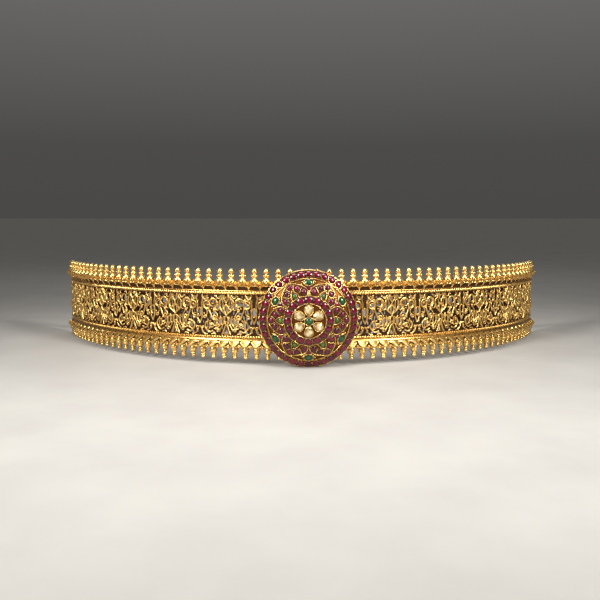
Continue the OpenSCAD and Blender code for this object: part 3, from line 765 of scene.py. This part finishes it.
def lower_trims(d, dst):
    """Petals with wire rims over a sheet of painted shade, stems and grains over the lower finials."""
    p = BOT_P
    end = length(d)
    # A sheet of painted shade along the slope behind the petals
    x, z = np.meshgrid(np.linspace(1, end - 1, 120), np.linspace(6.42, 9.0, 4))
    ground = np.stack([x, z, low_out(z) + .03], -1).reshape(-1, 3)
    dst["patina"].append(on_band(ground, grid(4, 120), d))
    ring = np.array(PETAL + [(-u, z) for u, z in PETAL[-2::-1]])
    n = len(ring)
    middle = np.array([0, PETAL_MIDDLE])
    for k in range(count(p, d)):
        t = FIRST + k * p
        rows = []
        for share, lift in PETAL_RINGS:
            q = middle + (ring - middle) * share
            rows.append(np.stack([t + q[:, 0] * p, q[:, 1], low_out(q[:, 1]) + lift], 1))
        dst["petals"].append(on_band(np.vstack(rows), ring_faces(len(rows), n)[:, TURNED], d))
        dst["petals"].append(on_band(rows[-1], np.arange(n)[None, ::-1], d))
        trim_line(dst["rims"], d, t, [(u * p, z) for u, z in ring[1:-1]], .3, .55, low_out)
        if t + .5 * p < end - .5:
            grain(dst["lozenges"], d, t + .5 * p, 5.75, 2.25, .5)
        for s in (1, -1):
            trim_line(dst["petals"], d, t, [(s * u * p, z) for u, z in STEM], .2, .1, low_out)


def trims(d):
    dst = {name: [] for name in ("arches", "petals", "lozenges", "patina", "rims")}
    upper_trims(d, dst)
    lower_trims(d, dst)
    return dst


BOX_FACES = np.array([(0, 1, 3, 2), (4, 6, 7, 5), (0, 4, 5, 1), (2, 3, 7, 6), (0, 2, 6, 4), (1, 5, 7, 3)])


def end_parts(d):
    """End bars with their beads, the eye, and the knuckles behind the joint."""
    parts = []
    z = np.linspace(RLOW, RHIGH, 3)
    for t in (GAP / 2 + 1.0, length(d)):
        bar = np.stack([t + 0 * z, z, -WALL / 2 + 0 * z], 1)
        parts += [on_band(v, f, d) for v, f in tube(bar, BAR_R, 14)]
    v, f = ball(.5, 8, 6)
    for z in np.arange(RLOW + 1.2, RHIGH - .8, 1.0):
        for t in (length(d) - 1.35, 2.5):
            parts.append(on_band(v + [t, z, .15], f, d))
    a = np.arange(28) * tau / 28
    hd = HEADING if d > 0 else pi - HEADING
    cx, cy = d * bar_x + eye_off * cos(hd), bar_y + eye_off * sin(hd)
    along = LINK_R * np.cos(a)
    p = np.stack([cx + along * cos(hd), cy + along * sin(hd), MID + LINK_R * np.sin(a)], 1)
    for v, f in tube(p, LINK_W, 10, True, up=(-sin(hd), cos(hd), 0)):
        parts.append((world(v), f))
    bore = PIN_R + PIN_CLEAR
    h = KNUCKLE_H
    g, r = JOINT / R, R + KNUCKLE_OUT
    for z in [MID - h / 2] if d > 0 else [MID - 1.5 * h - .3, MID + h / 2 + .3]:
        wall = bore + KNUCKLE_WALL
        v, f = revolve([(bore, 0), (wall, 0), (wall, h), (bore, h), (bore, 0)], 24)
        parts.append((upright(g, r, v[:, 0], v[:, 1], v[:, 2] + z), f))
        corners = [(t, level, o) for o in (-WALL / 2, KNUCKLE_OUT) for level in (z, z + h)
                   for t in (GAP, GAP + 1.9)]
        box = np.array(corners)
        parts.append((bent(box[:, 0], box[:, 1], box[:, 2], d), BOX_FACES))
    return parts


for d, side in ((-1, "left"), (1, "right")):
    node = "band_" + side
    sheet, axes, holes = panel(d)
    # The front and the walls of the gaps take the near-black gold of oxide and painted shade, the rear
    # plain gold
    plate = make("panel_" + side, sheet, PANEL_OXIDE_AND_SHADE, replaces=[node])
    plate.data.materials.append(GOLD)
    faces = len(plate.data.polygons)
    is_rear = np.arange(faces) >= faces - len(sheet[2][1])
    plate.data.polygons.foreach_set("material_index", is_rear.astype(int))
    ropes = rope(RHIGH, d) + rope(RLOW, d, -1) + plain_wire(RHIGH + ROPE + WIRE, .1, WIRE, d)
    top = finials(TOP_FINIAL, FHIGH, TOP_P, d, False)
    low = finials(BOTTOM_FINIAL, FLOW, BOT_P, d, True)
    trim = trims(d)
    for name, parts, mat, sharp in (
        ("scroll_", scrolls(d, axes, holes), GOLD_SCROLL, 75),
        ("borders_", strip(UPPER, d) + strip(LOWER, d), GOLD, 25),
        ("ropes_", ropes, GOLD, 50),
        ("finials_top_", top, GOLD_BRIGHT, 180),
        ("finials_low_", low, GOLD_BRIGHT, 60),
        ("patina_", trim["patina"], PAINTED_SHADE, 180),
        ("arches_", trim["arches"], GOLD, 50),
        ("petals_", trim["petals"], GOLD, 60),
        ("rims_", trim["rims"], GOLD_BRIGHT, 50),
        ("lozenges_", trim["lozenges"], LOZENGE, 30),
        ("ends_", end_parts(d), GOLD, 50),
    ):
        make(name + side, parts, mat, sharp=sharp, replaces=[node])


# The medallion. Its own frame has z along its axis and 0 at its back plane
def rotation(axis, a):
    c, s = cos(a), sin(a)
    m = np.eye(4)
    i, j = {"x": (1, 2), "y": (2, 0), "z": (0, 1)}[axis]
    m[i, i] = m[j, j] = c
    m[i, j], m[j, i] = -s, s
    return m


def shift(x, y, z):
    m = np.eye(4)
    m[:3, 3] = x, y, z
    return m


MEDALLION = (rotation("z", MED_S / R) @ shift(0, -(R + med_out), med_z)
             @ rotation("x", pi / 2 + LEAN))


def moved(m, v):
    return v @ m[:3, :3].T + m[:3, 3]


def on_medallion(v):
    return world(moved(MEDALLION, v))


def dome_frame(azimuth, r, spin=0.0):
    """The frame of a stone on the dome: z is the dome's normal, x points outward before the spin."""
    return (rotation("z", radians(azimuth)) @ shift(0, 0, dome_centre)
            @ rotation("y", asin(r / dome_r)) @ shift(0, 0, dome_r) @ rotation("z", radians(spin)))


def dome_z(r):
    return dome_centre + np.sqrt(np.maximum(dome_r ** 2 - np.asarray(r) ** 2, 0))


def oval(a, b, n=20, square=0.82):
    """An oval that fills its cell a little squarely."""
    c, s = np.cos(tau * np.arange(n) / n), np.sin(tau * np.arange(n) / n)
    return np.column_stack([a * np.sign(c) * np.abs(c) ** square, b * np.sign(s) * np.abs(s) ** square])


def drop(w, n=14):
    """A drop whose point looks to -x, towards the centre emerald."""
    a = [radians(-110 + k * 220 / n) for k in range(n + 1)]
    point = [(-1.1 * w, .62 * w), (-1.5 * w, .25), (-1.5 * w, -.25), (-1.1 * w, -.62 * w)]
    return np.array([(w * cos(x), w * sin(x)) for x in a] + point)


WEDGE = 1.2 * np.array([(-.95, 0), (-.3, -.52), (.45, -1.05), (.75, -.8), (.77, 0), (.75, .8), (.45, 1.05),
                        (-.3, .52)])
# One leaf: distance from the medallion's axis as a share of its radius, angle from the leaf's own axis
LEAF = ((.752, 0), (.688, 10), (.688, -10), (.592, 20.5), (.592, -20.5))
# Where every stone lies: azimuth, distance from the axis, spin, outline, half length, rise
PLACES = {
    "ruby_outer_ring": [(90 + 10 * k, .925 * MED_R, 35, oval(1.9, 1.5), 1.9, RISE) for k in range(36)],
    "ruby_inner_ring": [(90 + 22.5 * k, .425 * MED_R, 35, oval(1.9, 1.5), 1.9, RISE) for k in range(16)],
    "ruby_leaves": [(60 * k + a, s * MED_R, 0, oval(1.42, 1.42, 18), 1.42, RISE)
                    for k in range(6) for s, a in LEAF],
    "leaf_emeralds": [(60 * k, .565 * MED_R, 0, oval(1.25, 1.25, 16), 1.25, .6) for k in range(6)],
    "ruby_wedges": [(30 + 60 * k, .642 * MED_R, 0, smooth_path(WEDGE, 3, True), 1.56, .52)
                    for k in range(6)],
}
for k in range(6):
    green = (90 - 60 * k, .765 * MED_R, 90, oval(1.95, 1.48, 22), 1.95, RISE)
    PLACES["oval_emerald_%d" % (k + 1)] = [green]
    PLACES["polki_%d" % (k + 1)] = [(90 - 60 * k, .233 * MED_R, 0, drop(1.95), 1.95, .9)]
PLACES["centre_emerald"] = [(0, 0, 0, oval(1.75, 1.75, 24, 1), 1.75, CENTRE_RISE)]


def cabochon(poly, half, rise):
    """A domed stone over an outline."""
    crown = rise * .8 if rise < 1 else .85
    b = (half ** 2 + crown ** 2) / (2 * crown)
    n = len(poly)
    rows = [np.column_stack([poly, np.full(n, -.7)])]
    for share in (1, .97, .88, .74, .56, .36, .16):
        q = poly * share
        over = np.sqrt(b * b - np.minimum((q ** 2).sum(1), b * b * .99))
        rows.append(np.column_stack([q, rise - b + over - (.07 if share == 1 else 0)]))
    return loft(rows)


def loft(rows, close=True):
    """A skin over rings of points; close ends it over the last ring."""
    parts = [(np.vstack(rows), ring_faces(len(rows), len(rows[0])))]
    if close:
        parts.append((np.vstack([rows[-1], rows[-1].mean(0)]), fan(len(rows[0]))))
    return parts


def merged(parts):
    """Joins the parts of one stone into one island."""
    v = np.vstack([p[0] for p in parts])
    key = np.round(v, 5)
    _, first, back = np.unique(key, axis=0, return_index=True, return_inverse=True)
    back = back.ravel()
    out, base = [], 0
    for p, f in parts:
        out.append(back[np.asarray(f) + base])
        base += len(p)
    return v[first], out


def polki(poly):
    """A flat-topped stone with a ring of facets over an outline."""
    n = len(poly)
    c = np.array([.25, 0])

    def row(share, z, turn=False):
        q = c + (poly - c) * share
        if turn:
            q = (q + np.roll(q, -1, 0)) / 2
        return np.column_stack([q, np.full(n, z)])

    return loft([row(1, -.7), row(1, .3), row(.86, .58, True), row(.6, .84), row(.55, .9, True)])


def bezel(poly, top, wall, foot=-.62):
    """A thin upright wall round a stone."""
    nrm = normals(poly)
    n = len(poly)
    section = ((wall + .06, foot), (wall, top - .12), (wall * .7, top), (wall * .35, top), (.03, top - .1),
               (.0, top - .35))
    return loft([np.column_stack([poly + nrm * o, np.full(n, z)]) for o, z in section], False)


# The stones' looks are larger than the solids by this share, which fills their seats' clearance
FULL = 1.04
GEMS = {"ruby": RUBY, "emerald": EMERALD, "polki": POLKI}
# Height and thickness of the bezels, by the first word of the stone's name
BEZELS = {"polki": (.42, .26), "centre": (.42, .3), "oval": (.3, .3)}
LOW_BEZEL = (.2, .12)
walls = []
for node, places in PLACES.items():
    kind = node.split("_")[0]
    slot = kind if kind in ("ruby", "polki") else "emerald"
    grown = 1 if kind == "polki" else FULL
    parts, painted_glow = [], []
    for az, r, spin, poly, half, rise in places:
        m = dome_frame(az, r, spin)
        v, fs = merged(polki(poly) if kind == "polki" else cabochon(poly * grown, half * grown, rise))
        parts.append((on_medallion(moved(m, v)), fs))
        # Painted glow, high at a stone's middle and 0 at its edge and underside; on the polki every other
        # point gets 0.5 more, for painted glints on its facets
        share = np.hypot(v[:, 0] / half, v[:, 1] / np.abs(poly[:, 1]).max())
        turn = 0.5 * (np.arange(len(v)) % 2) if kind == "polki" else 0
        painted_glow.append(turn + np.where(v[:, 2] > 0, 1 - np.minimum(share, 1), 0))
        for v2, f2 in bezel(poly * grown, *BEZELS.get(kind, LOW_BEZEL)):
            walls.append((on_medallion(moved(m, v2)), f2))
    mat = OLIVE if node == "leaf_emeralds" else GEMS[slot]
    name = node + ("_stones" if len(places) > 1 else "_stone")
    make(name, parts, mat, 12 if slot == "polki" else 180, [node], painted_glow)
make("bezels", walls, GOLD_BRIGHT, sharp=70, replaces=["medallion_setting"])

# The dome's face, let down by this much so that the stones and wires stand over it, and its back
FACE_DROP, ROUND = .5, 144
radii = MED_R * (1 - np.linspace(0, 1, 40)[1:])
front = [(r, float(dome_z(r)) - FACE_DROP) for r in radii]
inner = dome_r - SHEET
rear = [(r, dome_centre - .4 + sqrt(inner ** 2 - r * r)) for r in np.linspace(0, MED_R - SHEET, 24)]
edge = (MED_R - .45, RIM + .05)
v, f = revolve([edge] + front, ROUND)
make("medallion_dome", [(on_medallion(v), f)], GROUND, sharp=40, replaces=["medallion_setting"])
rim = [(MED_R - SHEET, 0), (MED_R, 0), (MED_R, RIM - .15), (MED_R - .12, RIM + .1), edge]
v, f = revolve(rear + rim, ROUND)
make("medallion_back", [(on_medallion(v), f)], GOLD, sharp=40, replaces=["medallion_setting"])


def dome_line(points, r, lift, closed=True, steps=1):
    """A wire on the dome through points of (distance from the axis, azimuth)."""
    p = np.asarray(points, float)
    a = np.radians(p[:, 1])
    q = np.stack([p[:, 0] * np.cos(a), p[:, 0] * np.sin(a)], 1)
    if steps > 1:
        q = smooth_path(q, steps, closed)
    z = dome_z(np.linalg.norm(q, axis=1)) + lift
    up = np.column_stack([q, np.full(len(q), dome_r)]) / dome_r
    return [(on_medallion(v), f) for v, f in tube(np.column_stack([q, z]), r, 7, closed, up=up)]


def circle(r, n):
    return [(r, a) for a in np.arange(n) * (360 / n)]


def polar(points, azimuth, s=1):
    """Points in (x, y) as (distance, azimuth); s mirrors them about the azimuth's line."""
    return [(hypot(x, y), azimuth + s * degrees(atan2(y, x))) for x, y in points]


# Outline of a leaf in (distance from the axis, angle), the cell of its emerald, and the partitions
# between its rubies, in mm along and across its own axis
LEAF_EDGE = [(11.75, -27.7), (13.5, -28.2), (15.15, -24.6), (16.9, -15.4), (18.2, -6.6), (19.0, 0),
             (18.2, 6.6), (16.9, 15.4), (15.15, 24.6), (13.5, 28.2), (11.75, 27.7)]
CELL = [(11.5, -1.7), (12.6, -1.85), (13.8, -1.4), (14.7, -.7), (15.3, 0), (14.7, .7), (13.8, 1.4),
        (12.6, 1.85), (11.5, 1.7)]
RUNS = ([(15.5, .8), (16.4, 1.37), (17.3, 1.95)], [(13.2, 2.5), (14.1, 3.75), (15.0, 4.95)])
# Balls beside the leaves: distance from the axis, angle, radius
BALLS = ((17.2, 37.5, .5), (16.9, 41.5, .34), (17.9, 20.5, .4))

lines = []
for r, n, wire in ((19.1, 120, .17), (8.0, 120, .2), (MED_R - .2, 180, .24)):
    lines += dome_line(circle(r, n), wire, .1)
waved = [(r + .28 * abs(cos(radians(a - 90) * 8)), a) for r, a in circle(11.35, 160)]
lines += dome_line(waved, .15, .1)
for k in range(6):
    a0 = 60 * k
    lines += dome_line([(r, a0 + a) for r, a in LEAF_EDGE], .17, .1, False, 4)
    lines += dome_line(polar(CELL, a0), .13, .08, False, 3)
    for s in (-1, 1):
        for run in RUNS:
            lines += dome_line(polar(run, a0, s), .12, .08, False, 4)
        for r, a, q in BALLS:
            v, f = ball(q, 10, 6)
            lines.append((on_medallion(moved(dome_frame(a0 + a * s, r), v + [0, 0, -.15])), f))
make("medallion_lines", lines, GOLD_BRIGHT, sharp=180, replaces=["medallion_setting"])

posts = []
for d in (-1, 1):
    depth = np.array([POST_CLEAR, med_out + RIM + DOME - SHEET - .3])
    axis = np.stack([POST_OFF + 0 * depth, MID + 0 * depth, depth], 1)
    g = (JOINT + d * POST_OFF) / R
    for v, f in tube(axis, POST_R, 20, up=(0, 1, 0)):
        v = upright(g, R + v[:, 2], d * (v[:, 0] - POST_OFF), 0, v[:, 1])
        posts.append((v, f if d > 0 else f[:, ::-1]))
make("medallion_posts", posts, GOLD, replaces=["medallion_setting"])

# The clasp pin, with its collar and knob
foot, collar = MID - 1.5 * KNUCKLE_H - 1, MID + 1.5 * KNUCKLE_H + .4
collar_r, knob_z = PIN_R + .6, H - KNOB_R - .2
turned = [(0, foot), (PIN_R - .1, foot), (PIN_R, foot + .1), (PIN_R, collar), (collar_r, collar),
          (collar_r, collar + 1), (PIN_R, collar + 1), (PIN_R, knob_z - .9)]
turned += [(KNOB_R * cos(a), knob_z + KNOB_R * sin(a)) for a in np.linspace(-.85, pi / 2, 12)]
v, f = revolve(turned, 20)
g, r = JOINT / R, R + KNUCKLE_OUT
v = world(v + [r * sin(g), -r * cos(g), 0])
make("clasp_pin_turned", [(v, f)], GOLD_BRIGHT, sharp=40, replaces=["clasp_pin"])


# The back chain: links in alternate quarter turns, which roll to 45 degrees where they lie
def chain():
    """Links from the right eye to the middle one, and their mirror images on the left."""
    land_y = eye_y + drop_r * sin(HEADING)
    drop_len = drop_r * pi / 2
    half = drop_len + back_r * (pi - HEADING)
    n = ceil(half / (2 * (LINK_R - LINK_W) - LINK_SLACK)) - 1
    pitch = half / (n + 1)
    a = np.arange(26) * tau / 26
    ring_v, ring_f = tube(np.stack([LINK_R * np.cos(a), LINK_R * np.sin(a), 0 * a], 1), LINK_W, 10, True)[0]
    parts = []
    for k in range(1, n + 2):
        s = k * pitch
        if s < drop_len:
            a = s / drop_r
            run = drop_r * (1 - cos(a))
            x, y = eye_x + run * cos(HEADING), eye_y + run * sin(HEADING)
            z = eye_z - drop_r * sin(a)
            head, fall = HEADING, pi / 2 - a
        else:
            head, fall = HEADING + (s - drop_len) / back_r, 0
            x, z = back_r * sin(head), lie_z
            y = land_y + back_r * (cos(HEADING) - cos(head))
        roll = radians(90 * k + 45 * min(1, s / (.75 * drop_len)))
        pose = rotation("z", head) @ rotation("y", fall) @ rotation("x", pi / 2 + roll)
        v = (moved(shift(x, y, z) @ pose, ring_v) + [0, plan_y, 0]) * .001
        parts.append((v, ring_f))
        if k <= n:
            parts.append((v * [-1, 1, 1], ring_f[:, ::-1]))
    return parts


make("chain_links", chain(), GOLD, sharp=180, replaces=["back_chain"])

# Floor, light and camera
floor_mat, nt, sh = material("floor")
floor_tone = ramp(nt, [(0.3, (0.34, 0.33, 0.315)), (0.7, (0.38, 0.37, 0.35))], noise(nt, 30, 4))
nt.links.new(floor_tone, sh.inputs["Base Color"])
put(sh, Roughness=0.85)
me = bpy.data.meshes.new("floor")
me.from_pydata([(-4, -3, 0), (4, -3, 0), (4, 5, 0), (-4, 5, 0)], [], [(0, 1, 2, 3)])
me.materials.append(floor_mat)
floor = bpy.data.objects.new("floor", me)
floor.location.z = -0.0001
bpy.context.scene.collection.objects.link(floor)


def softbox(name, place, target, size, power, tint, spread):
    """A soft light: place and target in metres, size, watts, colour, spread in degrees."""
    l = bpy.data.lights.new(name, "AREA")
    l.shape = "RECTANGLE"
    l.size, l.size_y = size
    l.energy = power
    l.color = tint
    l.spread = radians(spread)
    o = bpy.data.objects.new(name, l)
    o.location = place
    o.rotation_euler = (Vector(target) - Vector(place)).to_track_quat("-Z", "Y").to_euler()
    bpy.context.scene.collection.objects.link(o)


softbox("key_left", (-0.42, -0.52, 0.34), (-0.03, -0.20, 0.02), (0.16, 0.24), 0.62, (1.0, 0.97, 0.93), 60)
softbox("key_right", (0.42, -0.52, 0.36), (0.03, -0.20, 0.02), (0.16, 0.24), 0.62, (1.0, 0.97, 0.93), 60)
softbox("top", (0, -0.26, 0.55), (0, -0.20, 0.0), (0.45, 0.16), 0.4, (1.0, 0.98, 0.96), 60)
softbox("back", (0, 0.75, 0.50), (0, 0.0, 0.03), (0.5, 0.25), 0.17, (1.0, 0.99, 0.97), 70)
studio = bpy.data.worlds.new("studio")
bpy.context.scene.world = studio
studio.use_nodes = True
nt = studio.node_tree
background = nt.nodes["Background"]
coords = nt.nodes.new("ShaderNodeTexCoord")
split = nt.nodes.new("ShaderNodeSeparateXYZ")
nt.links.new(coords.outputs["Generated"], split.inputs["Vector"])
greys = [(0.0, (0.085, 0.083, 0.08)), (0.08, (0.09, 0.088, 0.085)), (0.5, (0.29, 0.284, 0.273))]
nt.links.new(ramp(nt, greys, split.outputs["Z"]), background.inputs["Color"])
put(background, Strength=0.8)

bpy.context.scene.view_settings.view_transform = "Standard"
cam = bpy.data.cameras.new("camera")
cam.lens, cam.sensor_width, cam.clip_start, cam.clip_end = 45.0, 36.0, 0.01, 50
camera = bpy.data.objects.new("camera", cam)
# The photo's camera: distance in front of the panel and height in mm, and pitch, leaned like the belt
CAMERA_OUT, CAMERA_Z, PITCH = 350.0, 62.3, 0.096
cy, cz = lean_yz(-(R + CAMERA_OUT), CAMERA_Z)
camera.location = (-0.0008, (cy + plan_y) * 0.001, cz * 0.001)
camera.rotation_euler = (pi / 2 - PITCH - tilt, 0, 0)
bpy.context.scene.collection.objects.link(camera)
bpy.context.scene.camera = camera
